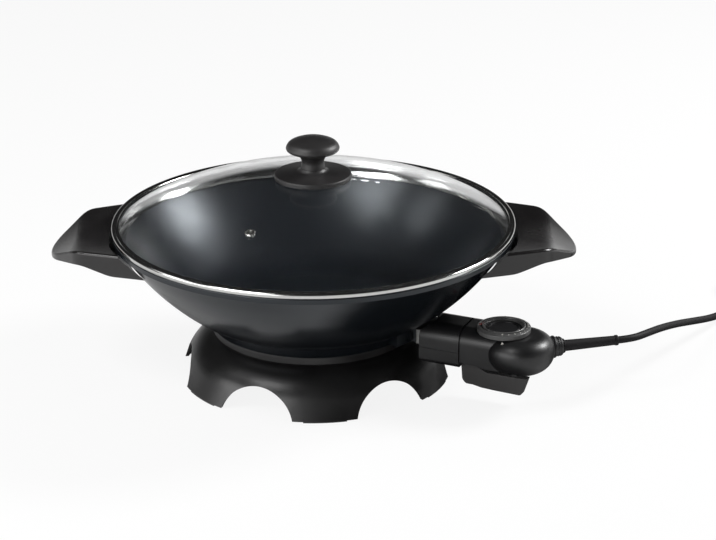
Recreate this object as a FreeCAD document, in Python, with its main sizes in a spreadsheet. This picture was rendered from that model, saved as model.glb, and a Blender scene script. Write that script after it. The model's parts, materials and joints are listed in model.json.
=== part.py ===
import FreeCAD, Part
import math
import os

import Sketcher
from FreeCAD import Placement, Rotation, Vector

# Electric wok: cast pan on a flared base, lift-off glass lid, plug-in temperature regulator with its cord.
# Origin on the pan's axis at the table, +Z up, +X through the right handle. All lengths in millimetres.

DRIVING = {
    # pan
    "rim_radius": 177.5,
    "rim_top": 136.7,
    "bowl_centre_z": 244.8,
    "bowl_centre_r": -15.0,
    "bowl_arc": 220.2,
    "pan_wall": 4.2,
    "floor_under": 54.0,
    "floor_top": 59.5,
    "floor_flat": 74.0,
    "hip_arc": 68.8,
    "hip_radius": 116.0,
    "hip_z": 68.3,
    "foot_ring_in": 88.6,
    "foot_ring_out": 92.8,
    "foot_ring_top": 98.4,
    "seat_z": 48.0,
    # heating element and its socket
    "socket_turn": -25.0,
    "axis_z": 55.0,
    "element_ring": 63.0,
    "element_bend": 12.0,
    "element_tube": 3.1,
    "pin_pitch": 10.0,
    "pin_r": 2.4,
    "probe_r": 3.0,
    "boss_face": 106.5,
    "boss_outer": 106.0,
    "mouth_at": 113.0,
    # base
    "base_turn": 4.8,
    "base_foot_r": 121.7,
    "base_wall": 2.8,
    "lip_radius": 91.4,
    "arch_radius": 36.6,
    "arch_sink": 11.3,
    "pad_height": 1.0,
    "base_screw_r": 80.5,
    # lid
    "lid_radius": 178.0,
    "lid_base": 137.0,
    "band_top": 141.3,
    "dome_start": 171.0,
    "dome_apex": 182.0,
    "glass_wall": 3.1,
    "vent_r": 110.0,
    "knob_disc_r": 34.0,
    "knob_head_r": 23.5,
    "lid_top": 218.6,
    # handles
    "handle_tip": 232.0,
    "handle_crest": 134.6,
    "handle_rim_gap": 4.5,
    "tang_half": 13.0,
    "tang_low": 122.5,
    "tang_high": 126.5,
    "tang_end": 196.0,
    "handle_screw_x": 186.0,
    # regulator, along its own axis from the pan's axis
    "nose_back": 148.0,
    "neck_front": 150.0,
    "case_half": 21.5,
    "case_low": 33.5,
    "case_high": 69.0,
    "case_wall": 2.4,
    "split_z": 41.0,
    "bulb_at": 197.0,
    "bulb_radius": 30.0,
    "bulb_low": 33.0,
    "bulb_high": 66.0,
    "bulb_round": 14.0,
    "bulb_belly": 18.0,
    "dial_at": 181.6,
    "dial_radius": 23.4,
    "dial_shaft_r": 3.0,
    "lever_at": 153.3,
    "lever_z": 35.0,
    "lever_half": 3.5,
    "lug_wall": 2.4,
    "recess_top": 39.2,
    # cord
    "outlet_turn": 14.0,
    "outlet_z": 51.0,
    "gland_end": 37.5,
    "sleeve_end": 89.0,
    "cord_diameter": 6.6,
    "coil_x": 438.0,
    "coil_y": 178.0,
    "coil_mid": 36.5,
    "coil_low": 0.9,
}

doc = FreeCAD.newDocument("electric_wok")
sheet = doc.addObject("Spreadsheet::Sheet", "Sizes")
for row, (alias, value) in enumerate(DRIVING.items(), start=1):
    sheet.set(f"A{row}", alias)
    sheet.set(f"B{row}", str(value))
    sheet.setAlias(f"B{row}", alias)
doc.recompute()


class Size:
    """A number together with the sheet expression that it comes from."""

    def __init__(self, value, text=None):
        self.value = float(value)
        self.text = text or repr(float(value))

    def __float__(self):
        return self.value

    def joined(self, sign, other, value):
        other_text = other.text if isinstance(other, Size) else repr(float(other))
        return Size(value, f"({self.text} {sign} {other_text})")

    def __add__(self, other):
        return self.joined("+", other, self.value + float(other))

    __radd__ = __add__

    def __sub__(self, other):
        return self.joined("-", other, self.value - float(other))

    def __rsub__(self, other):
        return Size(other) - self

    def __mul__(self, other):
        return self.joined("*", other, self.value * float(other))

    __rmul__ = __mul__

    def __truediv__(self, other):
        return self.joined("/", other, self.value / float(other))

    def __neg__(self):
        return self * -1.0


def root(size):
    return Size(math.sqrt(float(size)), f"sqrt({size.text})")


class Sheet:
    """Gives each aliased cell of the sheet as a Size."""

    def __getattr__(self, alias):
        return Size(DRIVING[alias], f"Sizes.{alias}")


s = Sheet()
SCREW_TURNS = (30.0, 150.0, 270.0)
SOCKET = Placement(Vector(0, 0, 0), Rotation(Vector(0, 0, 1), DRIVING["socket_turn"]))


def bind(thing, field, size):
    if isinstance(size, Size) and "Sizes." in size.text:
        thing.setExpression(field, size.text)


def new_body(label):
    body = doc.addObject("PartDesign::Body", label)
    body.Label = label
    body.AllowCompound = True
    return body


def sketch_on(body, plane, name, offset=0.0):
    """An empty sketch on one of the body's own origin planes, moved along the plane's normal."""
    sketch = body.newObject("Sketcher::SketchObject", name)
    support = next(f for f in body.Origin.OriginFeatures if f.Role == plane)
    sketch.AttachmentSupport = [(support, "")]
    sketch.MapMode = "FlatFace"
    sketch.AttachmentOffset = Placement(Vector(0, 0, float(offset)), Rotation())
    bind(sketch, ".AttachmentOffset.Base.z", offset)
    return sketch


def fix_point(sketch, geometry, position, x, y):
    """Holds one point of the sketch at (x, y), by its own named constraints."""
    for kind, axis, size in (("DistanceX", -2, x), ("DistanceY", -1, y)):
        if float(size) == 0.0:
            sketch.addConstraint(Sketcher.Constraint("PointOnObject", geometry, position, axis))
            continue
        index = sketch.addConstraint(Sketcher.Constraint(kind, geometry, position, float(size)))
        name = f"{kind[-1].lower()}{index}"
        sketch.renameConstraint(index, name)
        bind(sketch, f"Constraints.{name}", size)


def fix_radius(sketch, geometry, radius):
    index = sketch.addConstraint(Sketcher.Constraint("Radius", geometry, abs(float(radius))))
    name = f"radius{index}"
    sketch.renameConstraint(index, name)
    bind(sketch, f"Constraints.{name}", radius if float(radius) > 0 else -radius)


def arc_between(start, end, radius):
    """Short arc from start to end. A positive radius turns left, a negative one turns right."""
    chord = end - start
    left = Vector(-chord.y, chord.x, 0).normalize()
    rise = math.sqrt(max(radius**2 - (chord.Length / 2) ** 2, 0.0))
    centre = (start + end) * 0.5 + left * math.copysign(rise, radius)
    first, last = (start, end) if radius > 0 else (end, start)
    low = math.atan2(first.y - centre.y, first.x - centre.x)
    high = math.atan2(last.y - centre.y, last.x - centre.x)
    if high < low:
        high += 2 * math.pi
    circle = Part.Circle(centre, Vector(0, 0, 1), abs(radius))
    return Part.ArcOfCircle(circle, low, high)


def draw(sketch, *corners, closed=True):
    """Draws corner to corner. A corner is (x, y), reached by a line, or (x, y, radius), reached by an arc."""
    pairs = list(zip(corners, corners[1:]))
    if closed:
        pairs.append((corners[-1], corners[0]))
    ends = []
    for start, end in pairs:
        a = Vector(float(start[0]), float(start[1]), 0)
        b = Vector(float(end[0]), float(end[1]), 0)
        radius = end[2] if len(end) == 3 else None
        if radius is None:
            geometry = sketch.addGeometry(Part.LineSegment(a, b), False)
            ends.append((geometry, 1, 2))
            continue
        geometry = sketch.addGeometry(arc_between(a, b, float(radius)), False)
        fix_radius(sketch, geometry, radius)
        ends.append((geometry, 1, 2) if float(radius) > 0 else (geometry, 2, 1))
    for (geometry, begin, _), (start, _) in zip(ends, pairs):
        fix_point(sketch, geometry, begin, start[0], start[1])
    if not closed:
        fix_point(sketch, ends[-1][0], ends[-1][2], corners[-1][0], corners[-1][1])
    joins = list(zip(ends, ends[1:]))
    if closed:
        joins.append((ends[-1], ends[0]))
    for (one, _, finish), (two, begin, _) in joins:
        sketch.addConstraint(Sketcher.Constraint("Coincident", one, finish, two, begin))
    return sketch


def box(sketch, x_low, x_high, y_low, y_high):
    return draw(sketch, (x_low, y_low), (x_high, y_low), (x_high, y_high), (x_low, y_high))


def circle(sketch, x, y, radius):
    centre = Vector(float(x), float(y), 0)
    geometry = sketch.addGeometry(Part.Circle(centre, Vector(0, 0, 1), float(radius)), False)
    fix_point(sketch, geometry, 3, x, y)
    fix_radius(sketch, geometry, radius)
    return sketch


def upright_axis(sketch, x):
    """A construction line that a turned feature of this sketch uses as its axis."""
    line = Part.LineSegment(Vector(float(x), -50, 0), Vector(float(x), 50, 0))
    geometry = sketch.addGeometry(line, True)
    sketch.addConstraint(Sketcher.Constraint("Vertical", geometry))
    fix_point(sketch, geometry, 1, x, -50.0)


def grows(body, feature, cut):
    """Recomputes and makes sure that the feature added or removed material."""
    before = feature.BaseFeature.Shape.Volume if feature.BaseFeature else 0.0
    doc.recompute()
    change = feature.Shape.Volume - before
    if (change >= 0) if cut else (change <= 0):
        raise RuntimeError(f"{body.Label}: {feature.Label} changed the volume by {change:.3f}")
    return feature


def extrude(body, sketch, length, cut=False, back=False, both=False):
    """Pad or pocket. A pocket goes against the sketch's normal, a pad along it, unless back is set."""
    kind = "PartDesign::Pocket" if cut else "PartDesign::Pad"
    feature = body.newObject(kind, sketch.Name + ("_cut" if cut else "_pad"))
    feature.Profile = sketch
    feature.Length = float(length)
    feature.Reversed = back
    if both:
        feature.SideType = "Symmetric"
    bind(feature, "Length", length)
    return grows(body, feature, cut)


def turn(body, sketch, axis="V_Axis", cut=False):
    """Full revolution, or a groove where cut is set."""
    kind = "PartDesign::Groove" if cut else "PartDesign::Revolution"
    feature = body.newObject(kind, sketch.Name + ("_groove" if cut else "_turn"))
    feature.Profile = sketch
    feature.ReferenceAxis = (sketch, [axis])
    feature.Angle = 360.0
    return grows(body, feature, cut)


def around(body, feature, count):
    """Repeats one feature evenly about the body's Z axis."""
    pattern = body.newObject("PartDesign::PolarPattern", feature.Name + "_around")
    pattern.Originals = [feature]
    pattern.Axis = (next(f for f in body.Origin.OriginFeatures if f.Role == "Z_Axis"), [""])
    pattern.Angle = 360.0
    pattern.Occurrences = count
    body.Tip = pattern
    doc.recompute()
    return pattern


def soften(body, radius, wanted):
    """Fillets the edges of the body's tip that the test wanted() picks."""
    base = body.Tip
    edges = base.Shape.Edges
    names = [f"Edge{i + 1}" for i, edge in enumerate(edges) if wanted(edge)]
    if not names:
        raise RuntimeError(f"{body.Label}: no edge to fillet")
    feature = body.newObject("PartDesign::Fillet", body.Name + "_fillet")
    feature.Base = (base, names)
    feature.Radius = float(radius)
    doc.recompute()
    return feature


def upright_screws(label, places, head_z, head_radius, head_length, shank_radius, tip_z):
    """Screws that stand head down, one solid at each place."""
    body = new_body(label)
    head = sketch_on(body, "XY_Plane", label + "_head", head_z)
    shank = sketch_on(body, "XY_Plane", label + "_shank", head_z + head_length)
    for x, y in places:
        circle(head, x, y, head_radius)
        circle(shank, x, y, shank_radius)
    extrude(body, head, head_length)
    extrude(body, shank, tip_z - head_z - head_length)
    return body


def polar(radius, degrees):
    """Point of the circle, with the radius kept as a sheet expression."""
    angle = math.radians(degrees)
    return radius * math.cos(angle), radius * math.sin(angle)


# ---------------------------------------------------------------------------------------------- pan


def hip_height(radius):
    """Height of the pan's underside between its flat floor and its hip."""
    run = radius - s.floor_flat
    return s.floor_under + s.hip_arc - root(s.hip_arc * s.hip_arc - run * run)


def bowl_radius(height, arc):
    """Radius of the bowl's wall at a height, for the outer arc or the inner one."""
    drop = s.bowl_centre_z - height
    return s.bowl_centre_r + root(arc * arc - drop * drop)


def element_path(body, name, start):
    """Two straight cold ends that bend into a ring, drawn at the height of the terminals."""
    pitch = s.pin_pitch
    middle = s.element_ring + s.element_bend
    bend_at = root(middle * middle - (pitch + s.element_bend) * (pitch + s.element_bend))
    share = s.element_ring / middle
    join_x = bend_at * share
    join_y = (pitch + s.element_bend) * share
    back = polar(s.element_ring, 120)
    path = sketch_on(body, "XY_Plane", name, s.axis_z)
    return draw(
        path,
        (start, pitch),
        (bend_at, pitch),
        (join_x, join_y, -s.element_bend),
        (back[0], back[1], s.element_ring),
        (back[0], -back[1], s.element_ring),
        (join_x, -join_y, s.element_ring),
        (bend_at, -pitch, -s.element_bend),
        (start, -pitch),
        closed=False,
    )


def pipe(body, name, start, radius, cut=False):
    """Round bar, or round channel, along the element's path."""
    path = element_path(body, name + "_path", start)
    section = sketch_on(body, "YZ_Plane", name + "_section", start)
    circle(section, s.pin_pitch, s.axis_z, radius)
    doc.recompute()
    kind = "PartDesign::SubtractivePipe" if cut else "PartDesign::AdditivePipe"
    feature = body.newObject(kind, name)
    feature.Profile = section
    feature.Spine = (path, [f"Edge{i + 1}" for i in range(len(path.Shape.Edges))])
    feature.Transition = "Transformed"
    return grows(body, feature, cut)


def wok_pan():
    body = new_body("wok_pan")
    outer = s.bowl_arc
    inner = s.bowl_arc - s.pan_wall
    hip_in_arc = s.hip_arc - s.pan_wall * 2
    hip_in_r = s.hip_radius - 2.3
    hip_in_z = s.hip_z + 3.1
    bead_low = s.rim_top - 4.6
    neck_z = bead_low - 1.0
    wall = sketch_on(body, "XZ_Plane", "pan_wall")
    draw(
        wall,
        (0, s.floor_under),
        (s.floor_flat, s.floor_under),
        (s.foot_ring_in, hip_height(s.foot_ring_in), s.hip_arc),
        (s.foot_ring_in + 0.4, s.seat_z),
        (s.foot_ring_out - 1.2, s.seat_z),
        (s.foot_ring_out, s.seat_z + 1.2),
        (s.foot_ring_top, hip_height(s.foot_ring_top)),
        (s.hip_radius, s.hip_z, s.hip_arc),
        (bowl_radius(neck_z, outer), neck_z, outer),
        (s.rim_radius, bead_low),
        (s.rim_radius, s.rim_top - 0.8),
        (s.rim_radius - 0.8, s.rim_top, 0.8),
        (bowl_radius(s.rim_top, inner) + 0.8, s.rim_top),
        (bowl_radius(s.rim_top - 0.8, inner), s.rim_top - 0.8, 0.9),
        (hip_in_r, hip_in_z, -inner),
        (s.floor_flat + 3.7, s.floor_top, -hip_in_arc),
        (0, s.floor_top),
    )
    turn(body, wall)

    # socket boss: a sector under the bowl, a plinth for the terminals and a block round the probe's well
    half = 22.0
    out_x, out_y = polar(s.boss_outer, half)
    in_x, in_y = polar(s.foot_ring_out, half)
    sector = sketch_on(body, "XY_Plane", "boss_sector", s.axis_z - 3.0)
    draw(
        sector,
        (out_x, -out_y),
        (out_x, out_y, s.boss_outer),
        (in_x, in_y),
        (in_x, -in_y, -s.foot_ring_out),
    )
    extrude(body, sector, 10.1)
    plinth = sketch_on(body, "XY_Plane", "boss_plinth", s.axis_z - 4.8)
    box(plinth, s.foot_ring_out - 1.0, s.boss_face, -18.0, 18.0)
    extrude(body, plinth, 11.7)
    well_block = sketch_on(body, "XY_Plane", "well_block", s.axis_z - 4.7)
    box(well_block, 78.0, s.foot_ring_out - 1.0, -16.0, 16.0)
    extrude(body, well_block, 7.5)

    # rib round the cast-in element, then the channel that the element fills
    pipe(body, "element_rib", Size(86.0), s.element_tube + 1.3)
    pipe(body, "element_channel", Size(95.0), s.element_tube + 0.1, cut=True)

    # bores for the two terminals and the probe
    bores = sketch_on(body, "YZ_Plane", "terminal_bores", s.boss_face)
    circle(bores, s.pin_pitch, s.axis_z, 3.7)
    circle(bores, -s.pin_pitch, s.axis_z, 3.7)
    extrude(body, bores, 14.5, cut=True)
    well = sketch_on(body, "YZ_Plane", "probe_well", s.boss_face)
    circle(well, 0, s.axis_z, s.probe_r + 0.3)
    extrude(body, well, 25.0, cut=True)

    # three screw bosses under the floor
    bosses = sketch_on(body, "XY_Plane", "screw_bosses", s.seat_z)
    holes = sketch_on(body, "XY_Plane", "screw_holes", s.seat_z)
    for place in SCREW_TURNS:
        degrees = place + DRIVING["base_turn"] - DRIVING["socket_turn"]
        x, y = polar(s.base_screw_r, degrees)
        circle(bosses, x, y, 5.0)
        circle(holes, x, y, 1.95)
    extrude(body, bosses, 7.0)
    extrude(body, holes, 6.4, cut=True, back=True)

    # two cast tangs that the handles slide over
    for side, degrees in (("right", 25.0), ("left", 205.0)):
        along = Vector(math.cos(math.radians(degrees)), math.sin(math.radians(degrees)), 0)
        across = Vector(-along.y, along.x, 0)
        tang = sketch_on(body, "XY_Plane", side + "_tang", s.tang_low)
        hole = sketch_on(body, "XY_Plane", side + "_tang_hole", s.tang_low)
        corners = []
        for reach, half_width in (
            (Size(166.3), -s.tang_half),
            (s.tang_end, -s.tang_half),
            (s.tang_end, s.tang_half),
            (Size(166.3), s.tang_half),
        ):
            x = reach * along.x + half_width * across.x
            y = reach * along.y + half_width * across.y
            corners.append((x, y))
        draw(tang, *corners)
        extrude(body, tang, s.tang_high - s.tang_low)
        circle(hole, s.handle_screw_x * along.x, s.handle_screw_x * along.y, 1.95)
        extrude(body, hole, s.tang_high - s.tang_low, cut=True, back=True)
    body.Placement = SOCKET


def heating_element():
    body = new_body("heating_element")
    pipe(body, "element_bar", Size(90.0), s.element_tube)
    body.Placement = SOCKET


def socket_pieces():
    pins = new_body("terminal_pins")
    rods = sketch_on(pins, "YZ_Plane", "pin_rods", 90.0)
    for side in (1, -1):
        circle(rods, side * s.pin_pitch, s.axis_z, s.pin_r)
    extrude(pins, rods, 34.0)
    tip = [e for e in pins.Tip.Shape.Edges if e.BoundBox.XMin > 123.9]
    soften(pins, 1.2, lambda edge: any(edge.isSame(t) for t in tip))
    pins.Placement = SOCKET

    insulators = new_body("terminal_insulators")
    for name, start, length, radius in (("tube", 92.2, 15.9, 3.6), ("collar", 108.1, 3.0, 4.6)):
        rings = sketch_on(insulators, "YZ_Plane", f"insulator_{name}", start)
        for side in (1, -1):
            circle(rings, side * s.pin_pitch, s.axis_z, radius)
            circle(rings, side * s.pin_pitch, s.axis_z, s.pin_r + 0.05)
        extrude(insulators, rings, length)
    insulators.Placement = SOCKET

    guard = new_body("socket_guard")
    guard_low = s.axis_z - 6.5
    guard_high = s.axis_z + 6.5
    tube = sketch_on(guard, "YZ_Plane", "guard_tube", s.boss_face)
    box(tube, -17.0, 17.0, guard_low, guard_high)
    extrude(guard, tube, 17.5)
    inside = sketch_on(guard, "YZ_Plane", "guard_inside", s.boss_face + 0.8)
    box(inside, -16.2, 16.2, guard_low + 0.8, guard_high - 0.8)
    extrude(guard, inside, 20.0, cut=True, back=True)
    holes = sketch_on(guard, "YZ_Plane", "guard_holes", s.boss_face + 2)
    for side in (1, -1):
        circle(holes, side * s.pin_pitch, s.axis_z, 3.8)
    circle(holes, 0, s.axis_z, s.probe_r + 0.6)
    extrude(guard, holes, 5.0, cut=True)
    guard.Placement = SOCKET


# ------------------------------------------------------------------------------------------ handles


def on_ridge(edge):
    """True for the edges between a handle's top and its flank."""
    bounds = edge.BoundBox
    middle = 127.0 - max(0.0, edge.CenterOfMass.x - 205.0) * 0.4
    outer = abs(edge.CenterOfMass.y) > 15.0 or bounds.XMin > 220.0
    level = bounds.ZLength < 12.0 and bounds.XLength > 1.0
    return level and outer and edge.CenterOfMass.z > middle


def corner_arc(before, corner, after, radius):
    """Start and end of the arc that rounds a corner between two straight runs."""
    into = (corner - before).normalize()
    out = (after - corner).normalize()
    trim = radius * math.tan(into.getAngle(out) / 2)
    return corner - into * trim, corner + out * trim


def handle(label, degrees):
    body = new_body(label)
    plan = sketch_on(body, "XY_Plane", label + "_plan", 100.0)
    # each side runs to a rounded shoulder and on to a tip that is one arc
    shoulder = Vector(204.3, -55.7, 0)
    tip = Vector(DRIVING["handle_tip"], -15.6, 0)
    root_end = Vector(140.0, -78.85, 0)
    shoulder_arc = 25.0
    begin, end = corner_arc(root_end, shoulder, tip, shoulder_arc)
    flank = (tip - shoulder).normalize()
    tip_arc = -tip.y / math.tan(flank.getAngle(Vector(0, 1, 0)) / 2)
    join = tip + flank * tip.y
    draw(
        plan,
        (root_end.x, root_end.y),
        (begin.x, begin.y),
        (end.x, end.y, shoulder_arc),
        (join.x, join.y),
        (join.x, -join.y, tip_arc),
        (end.x, -end.y),
        (begin.x, -begin.y, shoulder_arc),
        (root_end.x, -root_end.y),
    )
    extrude(body, plan, 45.0)

    # top: a dished section carried along the line of the crest
    crest = s.handle_crest
    crest_x = 199.0
    rise = 2.04
    fall_arc = 26.0
    fall_run = 13.0
    flat = math.sqrt(fall_arc**2 - fall_run**2)
    fall_x = crest_x + fall_run
    fall_z = crest - (fall_arc - flat)
    start_x = 138.0
    line = sketch_on(body, "XZ_Plane", label + "_crest")
    draw(
        line,
        (start_x, crest - rise),
        (crest_x, crest, -cap_arc(Size(crest_x - start_x), rise)),
        (fall_x, fall_z, -fall_arc),
        (245.0, fall_z - (245.0 - fall_x) * fall_run / flat),
        closed=False,
    )
    dish_arc = 624.0
    dish_deep = 3.5
    reach = 95.0
    low = crest - rise - dish_deep
    side = low + dish_arc - math.sqrt(dish_arc**2 - reach**2)
    section = sketch_on(body, "YZ_Plane", label + "_dish", start_x)
    draw(section, (-reach, side), (reach, side, dish_arc), (reach, crest + 25.0), (-reach, crest + 25.0))
    doc.recompute()
    top = body.newObject("PartDesign::SubtractivePipe", label + "_top")
    top.Profile = section
    top.Spine = (line, [f"Edge{i + 1}" for i in range(len(line.Shape.Edges))])
    top.Transition = "Transformed"
    grows(body, top, True)

    below = sketch_on(body, "XZ_Plane", label + "_below")
    draw(
        below,
        (130.0, crest - 19.2),
        (170.0, crest - 20.0),
        (180.0, crest - 18.7, 35.0),
        (196.0, crest - 14.3),
        (209.0, crest - 14.6, -22.4),
        (222.0, crest - 18.9),
        (240.0, crest - 24.9),
        (240.0, crest - 40.0),
        (130.0, crest - 40.0),
    )
    extrude(body, below, 180.0, cut=True, both=True)
    soften(body, 2.4, on_ridge)

    # inner face: a cone close round the rim, and a steady gap to the bowl
    far_arc = 165.0
    face = s.rim_radius + s.handle_rim_gap
    inner = sketch_on(body, "XZ_Plane", label + "_inner")
    upright_axis(inner, face - far_arc)
    draw(
        inner,
        (face - 22.0, crest - 24.6),
        (face, crest - 2.3),
        (face, 150.0),
        (100.0, 150.0),
        (100.0, crest - 24.6),
    )
    turn(body, inner, axis="Axis0", cut=True)
    gap = s.bowl_arc + 0.4
    follow = sketch_on(body, "XZ_Plane", label + "_follow")
    draw(
        follow,
        (bowl_radius(Size(104.0), gap), 104.0),
        (bowl_radius(Size(127.0), gap), 127.0, gap),
        (100.0, 127.0),
        (100.0, 104.0),
    )
    turn(body, follow, cut=True)

    slot = sketch_on(body, "XZ_Plane", label + "_slot")
    box(slot, 150.0, s.tang_end + 0.6, s.tang_low - 0.15, s.tang_high + 0.15)
    extrude(body, slot, s.tang_half * 2 + 0.4, cut=True, both=True)
    bore = sketch_on(body, "XY_Plane", label + "_bore", s.tang_low)
    circle(bore, s.handle_screw_x, 0, 2.2)
    extrude(body, bore, 12.0, cut=True)
    counterbore = sketch_on(body, "XY_Plane", label + "_counterbore", s.tang_low - 2.5)
    circle(counterbore, s.handle_screw_x, 0, 4.4)
    extrude(body, counterbore, 6.0, cut=True)
    body.Placement = Placement(Vector(0, 0, 0), Rotation(Vector(0, 0, 1), degrees))


# --------------------------------------------------------------------------------------------- base


def base_pieces():
    skirt = new_body("base_skirt")
    foot = s.base_foot_r
    slope = 0.4
    waist_z = 18.0
    lip = s.seat_z
    waist_r = foot - waist_z * slope
    wall = s.base_wall
    # the flared leg runs into a round shoulder without a corner
    shoulder_arc = 38.0
    lean = math.atan(slope)
    end_lean = math.radians(73.0)
    shoulder_r = waist_r - shoulder_arc * (math.cos(lean) - math.cos(end_lean))
    shoulder_z = waist_z + shoulder_arc * (math.sin(end_lean) - math.sin(lean))
    groove = s.lip_radius - 2.0
    shell = sketch_on(skirt, "XZ_Plane", "skirt_shell")
    draw(
        shell,
        (foot - s.pad_height * slope, s.pad_height),
        (waist_r, waist_z),
        (shoulder_r, shoulder_z, shoulder_arc),
        (groove, shoulder_z + 0.7),
        (groove, shoulder_z + 1.4),
        (s.lip_radius - 0.4, shoulder_z + 1.9),
        (s.lip_radius, lip - 0.6),
        (s.lip_radius - 0.6, lip, 0.6),
        (75.5, lip),
        (75.5, lip - 3.0),
        (groove - wall, lip - 3.0),
        (groove - wall, shoulder_z - 1.6),
        (shoulder_r - wall * math.cos(end_lean), shoulder_z - wall * math.sin(end_lean)),
        (waist_r - wall * math.cos(lean), waist_z - wall * math.sin(lean), wall - shoulder_arc),
        (foot - s.pad_height * slope - wall / math.cos(lean), s.pad_height),
    )
    turn(skirt, shell)
    arch = sketch_on(skirt, "YZ_Plane", "arch")
    circle(arch, 0, -s.arch_sink, s.arch_radius)
    around(skirt, extrude(skirt, arch, 150.0, cut=True, back=True), 6)
    holes = sketch_on(skirt, "XY_Plane", "skirt_holes", lip)
    places = [polar(s.base_screw_r, degrees) for degrees in SCREW_TURNS]
    for x, y in places:
        circle(holes, x, y, 2.0)
    extrude(skirt, holes, 3.5, cut=True)

    pads = new_body("foot_pads")
    half = 9.0
    outer = foot - s.pad_height * slope - 0.1
    inner = outer - wall + 0.2
    strips = sketch_on(pads, "XY_Plane", "pad_strips")
    for foot_turn in range(30, 390, 60):
        a, b = polar(outer, foot_turn - half), polar(outer, foot_turn + half)
        c, d = polar(inner, foot_turn + half), polar(inner, foot_turn - half)
        draw(strips, d, a, (*b, outer), c, (*d, -inner), closed=False)
    extrude(pads, strips, s.pad_height)

    shield = new_body("heat_shield")
    sheet_low = lip - 3.8
    plate = sketch_on(shield, "XZ_Plane", "shield_plate")
    draw(
        plate,
        (0, sheet_low - 4.0),
        (66.0, sheet_low - 4.0),
        (74.0, sheet_low),
        (86.2, sheet_low),
        (86.2, lip - 3.0),
        (73.7, lip - 3.0),
        (65.7, sheet_low - 3.2),
        (0, sheet_low - 3.2),
    )
    turn(shield, plate)
    shield_holes = sketch_on(shield, "XY_Plane", "shield_holes", lip)
    for x, y in places:
        circle(shield_holes, x, y, 2.0)
    extrude(shield, shield_holes, 6.0, cut=True)

    screws = upright_screws("base_screws", places, sheet_low - 2.4, 3.6, 2.4, 1.9, lip + 6.0)
    for body in (skirt, pads, shield, screws):
        body.Placement = Placement(Vector(0, 0, 0), Rotation(Vector(0, 0, 1), DRIVING["base_turn"]))

    handle_places = [(s.handle_screw_x, 0), (-s.handle_screw_x, 0)]
    upright_screws("handle_screws", handle_places, s.tang_low - 5.1, 4.2, 2.6, 1.9, s.tang_high - 0.4)


# ---------------------------------------------------------------------------------------------- lid


def cap_arc(half, rise):
    """Radius of a round cap that rises by the given height over its half width."""
    return (half * half + rise * rise) / (rise * 2.0)


def dome_arc():
    return cap_arc(s.dome_start, s.dome_apex - (s.lid_base + 3.5))


def dome_height(radius, under=0.0):
    """Height of the glass's top at a radius, or of its underside where the wall is given."""
    arc = dome_arc() - under
    return s.dome_apex - dome_arc() + root(arc * arc - radius * radius)


def vent_placement():
    """On the dome, square to the glass."""
    radius = DRIVING["vent_r"]
    azimuth = -118.1
    lean = math.degrees(math.asin(radius / float(dome_arc())))
    height = float(dome_height(s.vent_r))
    x, y = radius * math.cos(math.radians(azimuth)), radius * math.sin(math.radians(azimuth))
    swing = Rotation(Vector(0, 0, 1), azimuth).multiply(Rotation(Vector(0, 1, 0), lean))
    return Placement(Vector(x, y, height), swing)


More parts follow.
